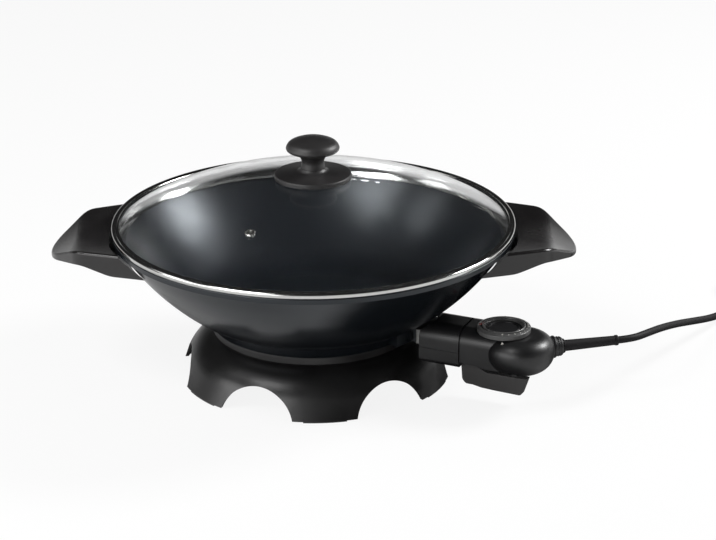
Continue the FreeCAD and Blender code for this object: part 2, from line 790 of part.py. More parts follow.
def lid_pieces():
    glass = new_body("lid_glass")
    arc = dome_arc()
    wall = s.glass_wall
    low = s.lid_base + 0.5
    hole = Size(5.0)
    dome = sketch_on(glass, "XZ_Plane", "glass_dome")
    draw(
        dome,
        (hole, dome_height(hole, wall)),
        (s.dome_start - 1.2, low, -(arc - wall)),
        (s.lid_radius - 1.4, low),
        (s.lid_radius - 1.4, low + wall),
        (s.dome_start, s.lid_base + 3.5),
        (hole, dome_height(hole), arc),
    )
    turn(glass, dome)
    vent_hole = glass.newObject("PartDesign::SubtractiveCylinder", "vent_hole")
    vent_hole.Radius = 2.6
    vent_hole.Height = 16.0
    vent_hole.Placement = vent_placement().multiply(Placement(Vector(0, 0, -8), Rotation()))
    grows(glass, vent_hole, True)

    band = new_body("lid_rim_band")
    skin = 0.6
    base = s.lid_base
    top = s.band_top
    outer = s.lid_radius
    flange_r = 165.0
    flange_z = s.lid_base - 9.6
    ring = sketch_on(band, "XZ_Plane", "band_ring")
    draw(
        ring,
        (s.dome_start, top),
        (s.dome_start, top - skin),
        (outer - skin - 1.0, top - skin),
        (outer - skin, top - skin - 1.0, -1.0),
        (outer - skin, base + skin - 0.15),
        (170.6, base + skin - 0.15),
        (169.0, base - 2.2),
        (168.2, base - 2.6),
        (flange_r, flange_z + 0.5),
        (flange_r - 0.3, flange_z),
        (flange_r + 0.4, flange_z - 0.3),
        (169.2, base - 3.2),
        (170.0, base - 2.2),
        (171.4, base - 0.1),
        (outer - 1.2, base),
        (outer, base + 1.2, 1.2),
        (outer, top - 1.6),
        (outer - 1.6, top, 1.6),
    )
    turn(band, ring)

    eyelet = new_body("vent_eyelet")
    rivet = sketch_on(eyelet, "XZ_Plane", "eyelet_rivet")
    draw(
        rivet,
        (1.5, 0.9),
        (1.5, -4.3),
        (3.9, -4.3),
        (3.9, -3.5),
        (2.5, -3.4),
        (2.5, 0.2),
        (4.6, 0.2),
        (4.6, 0.6),
        (3.6, 1.0, 1.2),
        (2.2, 1.2),
    )
    turn(eyelet, rivet)
    eyelet.Placement = vent_placement()

    disc = new_body("knob_disc")
    disc_r = s.knob_disc_r
    disc_low = dome_height(disc_r) + 0.45
    seat = s.dome_apex + 0.6
    rim = sketch_on(disc, "XZ_Plane", "disc_rim")
    draw(
        rim,
        (3.0, seat),
        (21.0, seat),
        (disc_r - 0.8, disc_low),
        (disc_r, disc_low + 0.8, 0.8),
        (disc_r, disc_low + 3.2),
        (disc_r - 1.4, disc_low + 4.6, 1.4),
        (14.5, 187.6),
        (11.0, 190.5, -5.0),
        (6.4, 190.5),
        (6.4, 186.0),
        (3.0, 186.0),
    )
    turn(disc, rim)

    knob = new_body("lid_knob")
    head = sketch_on(knob, "XZ_Plane", "knob_head")
    head_r = s.knob_head_r
    top = s.lid_top
    draw(
        head,
        (2.1, 186.1),
        (6.2, 186.1),
        (6.2, 190.6),
        (10.6, 190.6),
        (9.8, 195.0),
        (12.6, 201.6, -9.0),
        (head_r - 3.0, 205.6),
        (head_r, 208.6, 3.2),
        (head_r - 4.6, 214.4, 8.0),
        (0, top, cap_arc(head_r - 4.6, top - 214.4)),
        (0, 206.0),
        (2.1, 206.0),
    )
    turn(knob, head)

    gasket = new_body("knob_gasket")
    ring = sketch_on(gasket, "XZ_Plane", "gasket_ring")
    box(ring, 6.0, 19.0, dome_height(Size(6.0)) + 0.02, seat)
    turn(gasket, ring)

    washer = new_body("knob_washer")
    washer_top = dome_height(Size(9.0), wall) - 0.02
    ring = sketch_on(washer, "XZ_Plane", "washer_ring")
    box(ring, 2.2, 9.0, washer_top - 0.8, washer_top)
    turn(washer, ring)

    screw = new_body("knob_screw")
    head_top = washer_top - 0.8
    turned = sketch_on(screw, "XZ_Plane", "screw_turned")
    draw(
        turned,
        (0, head_top - 3.0),
        (4.2, head_top - 2.2, cap_arc(Size(4.2), 0.8)),
        (5.0, head_top),
        (2.0, head_top),
        (2.0, 203.0),
        (0, 203.0),
    )
    turn(screw, turned)


# ---------------------------------------------------------------------------------------- regulator


def case_section(sketch, inset):
    """Outline of the nose and neck across the regulator's axis, moved in by the inset."""
    half = s.case_half - inset
    low = s.case_low + inset
    high = s.case_high - inset
    crown = 13.0 - float(inset) * 0.8
    hem = 4.0 - float(inset) * 0.8
    return draw(
        sketch,
        (-(half - hem), low),
        (half - hem, low),
        (half, low + hem, hem),
        (half, high - crown),
        (half - crown, high, crown),
        (-(half - crown), high),
        (-half, high - crown, crown),
        (-half, low + hem),
        (-(half - hem), low, hem),
        closed=False,
    )


def through_holes(body, name, face, length):
    """Holes for the two contact sleeves and the probe."""
    holes = sketch_on(body, "YZ_Plane", name, face)
    for side in (1, -1):
        circle(holes, side * s.pin_pitch, s.axis_z, 3.75)
    circle(holes, 0, s.axis_z, s.probe_r + 0.05)
    extrude(body, holes, length, cut=True)


def undercut(body, name):
    """Clears the underside of the neck, where the eject lever has its hinge."""
    wedge = sketch_on(body, "XZ_Plane", name)
    draw(
        wedge,
        (147.0, 22.0),
        (184.6, 22.0),
        (180.6, s.case_low - 0.5),
        (171.0, s.case_low + 3.5),
        (163.0, s.recess_top - 0.3),
        (147.0, s.recess_top),
    )
    extrude(body, wedge, 70.0, cut=True, both=True)


def lever_lugs(body):
    """Two lugs under the neck that carry the lever's pin."""
    inner = s.lever_half * 2.0 + 0.8
    lugs = sketch_on(body, "XZ_Plane", "lever_lugs")
    box(lugs, s.lever_at - 3.0, s.lever_at + 4.2, s.lever_z - 3.4, s.recess_top + 0.8)
    extrude(body, lugs, inner + s.lug_wall * 2.0, both=True)
    slot = sketch_on(body, "XZ_Plane", "lever_slot")
    box(slot, s.lever_at - 5.0, s.lever_at + 6.0, s.lever_z - 5.0, s.recess_top)
    extrude(body, slot, inner, cut=True, both=True)
    pin_bore = sketch_on(body, "XZ_Plane", "lever_pin_bore")
    circle(pin_bore, s.lever_at, s.lever_z, 1.85)
    extrude(body, pin_bore, inner + s.lug_wall * 2.0 + 1.0, cut=True, both=True)


def nose_pieces():
    nose = new_body("regulator_nose")
    front = 108.0
    bulkhead = 3.0
    case_section(sketch_on(nose, "YZ_Plane", "nose_outside", front), 0.0)
    extrude(nose, nose.Group[-1], s.nose_back - front)
    case_section(sketch_on(nose, "YZ_Plane", "nose_inside", s.nose_back - bulkhead), s.case_wall)
    extrude(nose, nose.Group[-1], 60.0, cut=True)
    through_holes(nose, "nose_holes", s.nose_back, 6.0)
    # the mouth follows the skirt below and the bowl above
    mouth = sketch_on(nose, "XZ_Plane", "nose_mouth")
    draw(
        mouth,
        (90.0, 28.0),
        (s.mouth_at, 28.0),
        (s.mouth_at, 62.8),
        (118.0, 66.8, s.hip_arc),
        (126.5, 73.0, s.bowl_arc),
        (126.5, 82.0),
        (90.0, 82.0),
    )
    turn(nose, mouth, cut=True)
    seam_z = 47.5
    for side in (1, -1):
        seam = sketch_on(nose, "XZ_Plane", "nose_seam", side * s.case_half)
        box(seam, 100.0, 160.0, seam_z, seam_z + 0.7)
        extrude(nose, seam, 0.6, cut=True, back=side < 0)
    nose.Placement = SOCKET

    ring = new_body("regulator_seam_ring")
    case_section(sketch_on(ring, "YZ_Plane", "seam_section", s.nose_back), 1.6)
    extrude(ring, ring.Group[-1], s.neck_front - s.nose_back)
    through_holes(ring, "seam_holes", s.neck_front, 6.0)
    undercut(ring, "seam_undercut")
    ring.Placement = SOCKET


def bulb_outline(sketch, inset):
    """Half of the round tail's outline, with its upright axis."""
    axis = s.bulb_at
    edge = s.bulb_at + s.bulb_radius - inset
    low = s.bulb_low + inset
    high = s.bulb_high - inset
    rounding = s.bulb_round - inset
    belly = s.bulb_belly - inset
    upright_axis(sketch, axis)
    return draw(
        sketch,
        (axis, low),
        (edge - belly, low),
        (edge, low + belly, belly),
        (edge, high - rounding),
        (edge - rounding, high, rounding),
        (axis, high),
    )


SCREW_PLACES = ((200.0, 21.5), (200.0, -21.5))
SCREW_SEAT = Size(38.4)
LAMP_PLACE = (163.3, -8.5)
LEVER_TOP = 25.7


def housing(label, upper):
    body = new_body(label)
    case_section(sketch_on(body, "YZ_Plane", label + "_neck", s.neck_front), 0.0)
    extrude(body, body.Group[-1], 36.0)
    turn(body, bulb_outline(sketch_on(body, "XZ_Plane", label + "_bulb"), 0.0), axis="Axis0")
    case_section(sketch_on(body, "YZ_Plane", label + "_neck_inside", s.neck_front + 2.5), s.case_wall)
    extrude(body, body.Group[-1], 32.0, cut=True, back=True)
    hollow = sketch_on(body, "XZ_Plane", label + "_bulb_inside")
    turn(body, bulb_outline(hollow, s.case_wall), axis="Axis0", cut=True)
    # the posts end inside the roof's thickness, where it falls away to the side
    posts = sketch_on(body, "XY_Plane", label + "_posts", s.bulb_low + 6.0)
    for x, y in SCREW_PLACES:
        circle(posts, x, y, 3.6)
    extrude(body, posts, s.bulb_high - s.bulb_low - 12.0)
    if not upper:
        case_section(sketch_on(body, "YZ_Plane", label + "_neck_floor", s.neck_front), 0.0)
        extrude(body, body.Group[-1], 34.0)
    split = sketch_on(body, "XY_Plane", label + "_split", s.split_z)
    box(split, 140.0, 240.0, -40.0, 40.0)
    extrude(body, split, 45.0, cut=True, back=not upper)

    screw_hole = sketch_on(body, "XY_Plane", label + "_screw_holes", 20.0)
    for x, y in SCREW_PLACES:
        circle(screw_hole, x, y, 1.5)
    extrude(body, screw_hole, 36.0, cut=True, back=True)
    if upper:
        through_holes(body, label + "_holes", s.neck_front + 4.0, 8.0)
        seat = sketch_on(body, "XY_Plane", "dial_seat", s.bulb_high)
        circle(seat, s.dial_at, 0, s.dial_radius + 0.6)
        extrude(body, seat, 10.0, cut=True, back=True)
        top_holes = sketch_on(body, "XY_Plane", "dial_bore", s.bulb_high)
        circle(top_holes, s.dial_at, 0, s.dial_shaft_r + 0.06)
        circle(top_holes, *LAMP_PLACE, 2.6)
        extrude(body, top_holes, 5.0, cut=True)
        outlet = body.newObject("PartDesign::SubtractiveCylinder", "outlet_bore")
        outlet.Radius = 6.6
        outlet.Height = 20.0
        sideways = Rotation(Vector(0, 0, 1), DRIVING["outlet_turn"] - DRIVING["socket_turn"])
        lie = sideways.multiply(Rotation(Vector(0, 1, 0), 90))
        start = Vector(DRIVING["bulb_at"], 0, DRIVING["outlet_z"]) + sideways.multVec(Vector(20, 0, 0))
        outlet.Placement = Placement(start, lie)
        grows(body, outlet, True)
    else:
        counterbores = sketch_on(body, "XY_Plane", "counterbores", SCREW_SEAT)
        for x, y in SCREW_PLACES:
            circle(counterbores, x, y, 2.9)
        extrude(body, counterbores, 8.0, cut=True)
        undercut(body, "neck_undercut")
        lever_lugs(body)
    body.Placement = SOCKET


def regulator_inside():
    block = new_body("thermostat_block")
    base = sketch_on(block, "XY_Plane", "block_base", s.split_z)
    box(base, 154.0, 172.0, -13.0, 13.0)
    extrude(block, base, 17.0)
    block.Placement = SOCKET

    blade = new_body("thermostat_blade")
    block_top = s.split_z + 17.0
    strip = sketch_on(blade, "XZ_Plane", "blade_strip")
    draw(
        strip,
        (156.0, block_top),
        (168.0, block_top),
        (175.0, block_top + 2.6),
        (187.0, block_top + 2.6),
        (187.0, block_top + 3.3),
        (174.8, block_top + 3.3),
        (167.8, block_top + 0.7),
        (156.0, block_top + 0.7),
    )
    extrude(blade, strip, 8.0, both=True)
    blade.Placement = SOCKET

    sleeves = new_body("contact_sleeves")
    tubes = sketch_on(sleeves, "YZ_Plane", "sleeve_tubes", 113.0)
    for side in (1, -1):
        circle(tubes, side * s.pin_pitch, s.axis_z, 3.7)
        circle(tubes, side * s.pin_pitch, s.axis_z, s.pin_r + 0.3)
    extrude(sleeves, tubes, 41.0)
    sleeves.Placement = SOCKET

    probe = new_body("sensing_probe")
    rod = sketch_on(probe, "YZ_Plane", "probe_rod", 84.0)
    circle(rod, 0, s.axis_z, s.probe_r)
    extrude(probe, rod, 70.0)
    soften(probe, 1.6, lambda edge: edge.BoundBox.XMax < 84.1)
    probe.Placement = SOCKET

    lamp = new_body("indicator_lamp")
    bulb = sketch_on(lamp, "XY_Plane", "lamp_bulb", block_top)
    circle(bulb, *LAMP_PLACE, 2.4)
    extrude(lamp, bulb, 7.8)
    lamp.Placement = SOCKET

    screws = upright_screws("regulator_screws", SCREW_PLACES, SCREW_SEAT - 2.2, 2.7, 2.2, 1.4, Size(54.0))
    screws.Placement = SOCKET


def lever_pieces():
    lever = new_body("eject_lever")
    half = DRIVING["lever_half"]
    side = sketch_on(lever, "XZ_Plane", "lever_side")
    draw(
        side,
        (143.3, 31.6),
        (144.3, 17.4),
        (148.7, 12.2, 7.0),
        (154.7, 12.1),
        (162.5, 10.7),
        (174.3, 10.1),
        (197.4, 9.6),
        (200.6, 11.9, 3.4),
        (205.5, 26.4),
        (195.8, LEVER_TOP),
        (168.0, LEVER_TOP),
        (158.5, 30.0),
        (157.0, 36.0),
        (154.8, 38.3),
        (151.9, 38.3),
        (150.4, 36.6),
        (150.4, 31.6),
    )
    extrude(lever, side, s.lever_half * 2.0, both=True)
    bore = sketch_on(lever, "XZ_Plane", "lever_bore")
    circle(bore, s.lever_at, s.lever_z, 1.85)
    extrude(lever, bore, s.lever_half * 4.0, cut=True, both=True)
    soften(
        lever,
        0.6,
        lambda edge: abs(abs(edge.CenterOfMass.y) - half) < 0.01 and edge.CenterOfMass.z < 27.0,
    )
    lever.Placement = SOCKET

    pin = new_body("lever_pin")
    rod = sketch_on(pin, "XZ_Plane", "lever_pin_rod")
    circle(rod, s.lever_at, s.lever_z, 1.8)
    extrude(pin, rod, s.lever_half * 2.0 + 0.6 + s.lug_wall * 2.0, both=True)
    pin.Placement = SOCKET

    # compression spring between the lever's top and the round tail's underside
    wire_r = 0.35
    coil_r = 2.6
    low = LEVER_TOP + 0.05
    high = DRIVING["bulb_low"] - 0.05
    coil_height = high - low - 2 * wire_r
    helix = doc.addObject("Part::Helix", "spring_helix")
    helix.Pitch = coil_height / 3.0
    helix.Height = coil_height
    helix.Radius = coil_r
    helix.Placement = Placement(Vector(0, 0, low + wire_r), Rotation())
    ring = doc.addObject("Part::Circle", "spring_wire")
    ring.Radius = wire_r
    ring.Placement = Placement(Vector(coil_r, 0, low + wire_r), Rotation(Vector(1, 0, 0), 90))
    spring = doc.addObject("Part::Sweep", "lever_spring")
    spring.Label = "lever_spring"
    spring.Sections = [ring]
    spring.Spine = (helix, ["Edge1"])
    spring.Solid = True
    spring.Frenet = True
    doc.recompute()
    spring.Placement = SOCKET.multiply(Placement(Vector(190.0, 0, 0), Rotation()))


def dial_pieces():
    at = SOCKET.multVec(Vector(DRIVING["dial_at"], 0, 0))
    place = Placement(at, SOCKET.Rotation)
    low = s.bulb_high + 0.5
    ring = new_body("dial_ring")
    radius = s.dial_radius
    outline = sketch_on(ring, "XZ_Plane", "ring_outline")
    draw(
        outline,
        (s.dial_shaft_r + 0.02, low),
        (radius - 0.6, low),
        (radius, low + 0.6, 0.6),
        (radius, low + 3.3),
        (radius - 1.2, low + 4.5, 1.2),
        (16.9, low + 4.5),
        (16.2, low + 3.8, 0.7),
        (16.2, low + 1.1),
        (s.dial_shaft_r + 0.02, low + 1.1),
    )
    turn(ring, outline)
    ring.Placement = place

    cap = new_body("dial_cap")
    outline = sketch_on(cap, "XZ_Plane", "cap_outline")
    draw(
        outline,
        (0, low + 1.1),
        (16.1, low + 1.1),
        (16.1, low + 2.6),
        (15.3, low + 3.2, 0.9),
        (12.0, low + 2.6),
        (0, low + 2.4),
    )
    turn(cap, outline)
    cap.Placement = place

    shaft = new_body("dial_shaft")
    outline = sketch_on(shaft, "XZ_Plane", "shaft_outline")
    draw(
        outline,
        (0, s.split_z + 20.6),
        (7.0, s.split_z + 20.6),
        (7.0, s.split_z + 22.2),
        (s.dial_shaft_r, s.split_z + 22.2),
        (s.dial_shaft_r, low + 1.1),
        (0, low + 1.1),
    )
    turn(shaft, outline)
    shaft.Placement = place


# --------------------------------------------------------------------------------------------- cord


BULB = SOCKET.multVec(Vector(DRIVING["bulb_at"], 0, 0))
OUTLET = Placement(
    BULB + Vector(0, 0, DRIVING["outlet_z"]),
    Rotation(Vector(0, 0, 1), DRIVING["outlet_turn"]),
)


def outlet_pieces():
    gland = new_body("cord_gland")
    body_line = sketch_on(gland, "XZ_Plane", "gland_outside")
    end = s.gland_end
    draw(
        body_line,
        (24.0, 0),
        (24.0, 9.2),
        (end - 6.4, 9.2),
        (end - 5.6, 8.6),
        (end - 0.8, 8.0),
        (end, 7.2, -0.8),
        (end, 0),
    )
    turn(gland, body_line, axis="H_Axis")
    fit = s.bulb_radius + 0.05
    seat = sketch_on(gland, "XZ_Plane", "gland_seat")
    draw(
        seat,
        (0, -9.6),
        (fit - 2.76, -9.6),
        (fit, 0, s.bulb_belly + 0.05),
        (fit, 1.0),
        (fit - 3.0, 9.6, s.bulb_round + 0.05),
        (0, 9.6),
    )
    turn(gland, seat, cut=True)
    spigot = sketch_on(gland, "YZ_Plane", "gland_spigot", 26.9)
    circle(spigot, 0, 0, 6.4)
    extrude(gland, spigot, 6.0)
    gland.Placement = OUTLET

    sleeve = new_body("strain_relief")
    line = sketch_on(sleeve, "XZ_Plane", "sleeve_line")
    draw(
        line,
        (s.gland_end, 0),
        (s.gland_end, 5.0),
        (s.sleeve_end - 0.8, 4.1),
        (s.sleeve_end, 3.5),
        (s.sleeve_end, 0),
    )
    turn(sleeve, line, axis="H_Axis")
    sleeve.Placement = OUTLET


def cord_route():
    """Corners of the free cord, from the sleeve to the coil."""
    start = OUTLET.multVec(Vector(DRIVING["sleeve_end"] + 0.05, 0, 0))
    straight_end = OUTLET.multVec(Vector(DRIVING["sleeve_end"] + 14.0, 0, 0))
    entry_r = DRIVING["coil_mid"] + DRIVING["cord_diameter"] / 2
    coil_z = DRIVING["coil_low"] + DRIVING["cord_diameter"] / 2
    entry = Vector(DRIVING["coil_x"] - entry_r, DRIVING["coil_y"], coil_z)
    return [
        start,
        straight_end,
        Vector(292.5, -42.5, 49.3),
        Vector(308.0, -18.0, 44.2),
        Vector(327.0, 13.5, 35.2),
        Vector(346.2, 47.4, 23.6),
        Vector(367.5, 80.0, 13.2),
        Vector(386.5, 112.0, 6.2),
        Vector(entry.x, 144.0, coil_z),
        entry,
    ]


def tangent_path(points):
    """Straight runs joined by tangent arcs, each as large as its two runs allow."""
    edges = []
    radii = []
    here = points[0]
    for before, corner, after in zip(points, points[1:], points[2:]):
        into = (corner - before).normalize()
        out = (after - corner).normalize()
        half_turn = into.getAngle(out) / 2
        trim = 0.45 * min((corner - before).Length, (after - corner).Length)
        radius = trim / math.tan(half_turn)
        middle = corner + (out - into).normalize() * (radius / math.cos(half_turn) - radius)
        first = corner - into * trim
        last = corner + out * trim
        edges.append(Part.LineSegment(here, first).toShape())
        edges.append(Part.Arc(first, middle, last).toShape())
        radii.append(radius)
        here = last
    edges.append(Part.LineSegment(here, points[-1]).toShape())
    return Part.Wire(edges), radii


def power_cord():
    path, radii = tangent_path(cord_route())
    radius = DRIVING["cord_diameter"] / 2
    points = cord_route()
    heading = points[1] - points[0]
    section = Part.Wire(Part.makeCircle(radius, points[0], heading))
    tube = path.makePipeShell([section], True, True)
    print("cord arc radii", [round(r, 1) for r in radii])
    expected = math.pi * radius**2 * path.Length
    print(f"cord tube {path.Length:.1f} mm long, volume {tube.Volume:.0f} against {expected:.0f}")
    cord = doc.addObject("Part::Feature", "power_cord")
    cord.Label = "power_cord"
    cord.Shape = tube


def coil_pieces():
    wire = s.cord_diameter
    mid = s.coil_mid
    low = s.coil_low
    high = low + wire * 2
    corner = wire / 2
    centre = Vector(DRIVING["coil_x"], DRIVING["coil_y"], 0)
    coil = new_body("cord_coil")
    section = sketch_on(coil, "XZ_Plane", "coil_section")
    draw(
        section,
        (mid - wire + corner, low),
        (mid + wire - corner, low),
        (mid + wire, low + corner, corner),
        (mid + wire, high - corner),
        (mid + wire - corner, high, corner),
        (mid - wire + corner, high),
        (mid - wire, high - corner, corner),
        (mid - wire, low + corner),
        (mid - wire + corner, low, corner),
        closed=False,
    )
    turn(coil, section)
    tail = sketch_on(coil, "YZ_Plane", "coil_tail")
    circle(tail, mid + corner, high - corner, corner)
    extrude(coil, tail, 27.0)
    coil.Placement = Placement(centre, Rotation())
    doc.recompute()
    turns = 4.25
    print(f"coil holds {turns * 2 * math.pi * float(mid) + 27.0:.0f} mm of cord")

    tie = new_body("cord_tie")
    gap = 0.15
    strap = sketch_on(tie, "XZ_Plane", "tie_strap")
    box(strap, mid - wire - 0.9, mid + wire + 0.9, 0, high + 0.9)
    box(strap, mid - wire - gap, mid + wire + gap, low - gap, high + gap)
    extrude(tie, strap, 6.0, both=True)
    tie.Placement = Placement(centre, Rotation(Vector(0, 0, 1), -50))

    plug = new_body("plug_body")
    at = Placement(centre + Vector(27.0, float(mid + corner), float(high - corner)), Rotation())
    boot = sketch_on(plug, "XZ_Plane", "plug_boot")
    draw(boot, (0, 0), (0, 4.4), (19.0, 5.6), (24.0, 9.4, -8.0), (27.0, 10.2), (27.0, 0))
    turn(plug, boot, axis="H_Axis")
    grip = sketch_on(plug, "YZ_Plane", "plug_grip", 24.0)
    box(grip, -12.6, 12.6, -10.4, 10.4)
    extrude(plug, grip, 24.0)
    soften(plug, 4.0, lambda edge: edge.Length > 23.5 and edge.BoundBox.YLength + edge.BoundBox.ZLength < 0.1)
    plug.Placement = at

    blades = new_body("plug_blades")
    flat = sketch_on(blades, "YZ_Plane", "blade_flats", 48.0)
    for side in (1, -1):
        box(flat, side * 6.35 - 0.75, side * 6.35 + 0.75, -0.5, 5.8)
    extrude(blades, flat, 17.5)
    earth = sketch_on(blades, "YZ_Plane", "earth_pin", 48.0)
    circle(earth, 0, -6.2, 2.4)
    extrude(blades, earth, 20.0)
    blades.Placement = at


def write_parts():
    doc.recompute()
    os.makedirs("parts", exist_ok=True)
    kinds = ("PartDesign::Body", "Part::Sweep", "Part::Feature")
    broken = [o.Label for o in doc.Objects if {"Invalid", "Error"} & set(o.State)]
    if broken:
        raise RuntimeError(f"failed objects: {broken}")
    subparts = [o for o in doc.Objects if o.TypeId in kinds]
    for part in subparts:
        if part.Shape.isNull() or not part.Shape.isValid():
            raise RuntimeError(f"{part.Label} has no valid shape")
    for part in subparts:
        part.Shape.exportStep(f"parts/{part.Label}.step")
        print(f"{part.Label}: {len(part.Shape.Solids)} solids, {part.Shape.Volume / 1000:.2f} cm3")


wok_pan()
heating_element()
socket_pieces()
handle("right_handle", 0)
handle("left_handle", 180)
base_pieces()
lid_pieces()
nose_pieces()
housing("regulator_upper_housing", True)
housing("regulator_lower_housing", False)
regulator_inside()
lever_pieces()
dial_pieces()
outlet_pieces()
power_cord()
coil_pieces()
write_parts()
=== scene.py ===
import json
import math

import bmesh
import bpy
from mathutils import Matrix, Vector
from mathutils.bvhtree import BVHTree


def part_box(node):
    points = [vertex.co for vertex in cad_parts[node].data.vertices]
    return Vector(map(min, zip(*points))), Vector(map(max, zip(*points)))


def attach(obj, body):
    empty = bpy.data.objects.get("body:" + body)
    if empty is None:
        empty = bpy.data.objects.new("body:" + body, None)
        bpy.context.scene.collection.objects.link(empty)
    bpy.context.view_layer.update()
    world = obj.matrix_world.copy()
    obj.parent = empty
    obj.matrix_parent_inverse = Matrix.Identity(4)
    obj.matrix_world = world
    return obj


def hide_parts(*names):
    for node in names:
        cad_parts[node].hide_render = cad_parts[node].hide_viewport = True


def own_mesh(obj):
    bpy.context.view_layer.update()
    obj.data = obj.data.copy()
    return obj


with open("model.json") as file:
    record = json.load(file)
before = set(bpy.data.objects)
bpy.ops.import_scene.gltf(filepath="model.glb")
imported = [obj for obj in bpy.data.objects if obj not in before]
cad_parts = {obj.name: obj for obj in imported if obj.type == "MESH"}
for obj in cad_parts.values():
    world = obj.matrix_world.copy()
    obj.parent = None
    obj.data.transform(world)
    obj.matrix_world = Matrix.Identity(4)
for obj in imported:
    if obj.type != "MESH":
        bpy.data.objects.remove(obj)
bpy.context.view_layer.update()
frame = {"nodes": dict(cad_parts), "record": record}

MM = 0.001
NODES = frame["nodes"]

# ------------------------------------------------------------------------------------------- camera
# a pinhole camera in front of the wok and a little above it

IMAGE_WIDTH = 716.0  # in pixels, as is the focal length
FOCAL_LENGTH = 2500.0
SENSOR_WIDTH = 36.0
ELEVATION = math.radians(21.17)
ROLL = math.radians(-0.31)
DISTANCE = 2.221
LOOKS_AT = Vector((0.0389, 0, 0.0938))


def linked(name, data):
    """Puts data into the scene as a new object."""
    thing = bpy.data.objects.new(name, data)
    bpy.context.scene.collection.objects.link(thing)
    return thing


def add_camera():
    back = Vector((0, -math.cos(ELEVATION), math.sin(ELEVATION)))
    level_right = Vector((1, 0, 0))
    level_up = back.cross(level_right)
    right = level_right * math.cos(ROLL) + level_up * math.sin(ROLL)
    up = level_up * math.cos(ROLL) - level_right * math.sin(ROLL)
    facing = Matrix((right, up, back)).transposed().to_4x4()
    data = bpy.data.cameras.new("camera")
    data.sensor_width = SENSOR_WIDTH
    data.lens = FOCAL_LENGTH * SENSOR_WIDTH / IMAGE_WIDTH
    data.clip_end = 60.0
    camera = linked("camera", data)
    camera.matrix_world = Matrix.Translation(LOOKS_AT + back * DISTANCE) @ facing
    bpy.context.scene.camera = camera


add_camera()
bpy.context.scene.view_settings.view_transform = "Standard"

# ------------------------------------------------------------------------------------- shader nodes


def new_material(name):
    mat = bpy.data.materials.new(name)
    mat.use_nodes = True
    return mat, mat.node_tree, mat.node_tree.nodes["Principled BSDF"]


def object_place(tree):
    return tree.nodes.new("ShaderNodeTexCoord").outputs["Object"]


def parted(tree, vector):
    """X, Y and Z of a vector."""
    node = tree.nodes.new("ShaderNodeSeparateXYZ")
    tree.links.new(vector, node.inputs["Vector"])
    return node.outputs


def mapped(tree, source, old, new):
    """Spreads part of a value's range over another range."""
    node = tree.nodes.new("ShaderNodeMapRange")
    for socket, value in zip(("From Min", "From Max", "To Min", "To Max"), (*old, *new)):
        node.inputs[socket].default_value = value
    tree.links.new(source, node.inputs["Value"])
    return node.outputs["Result"]


def drifting(tree, texture, low, high):
    """Spreads the middle of a noise, where most of its values lie, over another range."""
    return mapped(tree, texture, (0.3, 0.7), (low, high))


def combined(tree, operation, one, two):
    """Math on two values, each a number or the output of a node."""
    node = tree.nodes.new("ShaderNodeMath")
    node.operation = operation
    for socket, value in zip(node.inputs, (one, two)):
        if isinstance(value, float):
            socket.default_value = value
        else:
            tree.links.new(value, socket)
    return node.outputs["Value"]


def distance_from(tree, place, centre):
    node = tree.nodes.new("ShaderNodeVectorMath")
    node.operation = "DISTANCE"
    node.inputs[1].default_value = centre
    tree.links.new(place, node.inputs[0])
    return node.outputs["Value"]


def noise(tree, scale, detail, stretch=None):
    """Noise in object space, in features per metre."""
    where = object_place(tree)
    if stretch:
        mapping = tree.nodes.new("ShaderNodeMapping")
        mapping.inputs["Scale"].default_value = stretch
        tree.links.new(where, mapping.inputs["Vector"])
        where = mapping.outputs["Vector"]
    node = tree.nodes.new("ShaderNodeTexNoise")
    node.inputs["Scale"].default_value = scale
    node.inputs["Detail"].default_value = detail
    tree.links.new(where, node.inputs["Vector"])
    return node.outputs["Fac"]


def tinted(tree, bsdf, source, dark, light, low=0.35, high=0.65):
    """Base colour that moves between two tones with a texture."""
    node = tree.nodes.new("ShaderNodeValToRGB")
    for stop, position, tone in zip(node.color_ramp.elements, (low, high), (dark, light)):
        stop.position = position
        stop.color = (*tone, 1)
    tree.links.new(source, node.inputs["Fac"])
    tree.links.new(node.outputs["Color"], bsdf.inputs["Base Color"])


def bumped(tree, bsdf, source, height):
    node = tree.nodes.new("ShaderNodeBump")
    node.inputs["Strength"].default_value = 1.0
    node.inputs["Distance"].default_value = height
    tree.links.new(source, node.inputs["Height"])
    tree.links.new(node.outputs["Normal"], bsdf.inputs["Normal"])


def mixed(tree, share, one, two):
    """Two shaders, of which the second shows by the share."""
    node = tree.nodes.new("ShaderNodeMixShader")
    tree.links.new(share, node.inputs["Fac"])
    tree.links.new(one, node.inputs[1])
    tree.links.new(two, node.inputs[2])
    return node.outputs["Shader"]


# ----------------------------------------------------------------------------------------- finishes


def moulded(name, dark, light, rough, grain=900.0, height=0.00002, gloss=0.0, shine=0.5):
    """Moulded plastic: fine grain in the surface, slow drift in gloss and tone."""
    mat, tree, bsdf = new_material(name)
    bsdf.inputs["Specular IOR Level"].default_value = shine
    bsdf.inputs["Coat Weight"].default_value = gloss
    bsdf.inputs["Coat Roughness"].default_value = 0.08
    slow = noise(tree, scale=28.0, detail=4.0)
    tinted(tree, bsdf, slow, dark, light)
    roughness = drifting(tree, slow, rough - 0.05, rough + 0.05)
    tree.links.new(roughness, bsdf.inputs["Roughness"])
    bumped(tree, bsdf, noise(tree, grain, detail=2.0), height)
    return mat


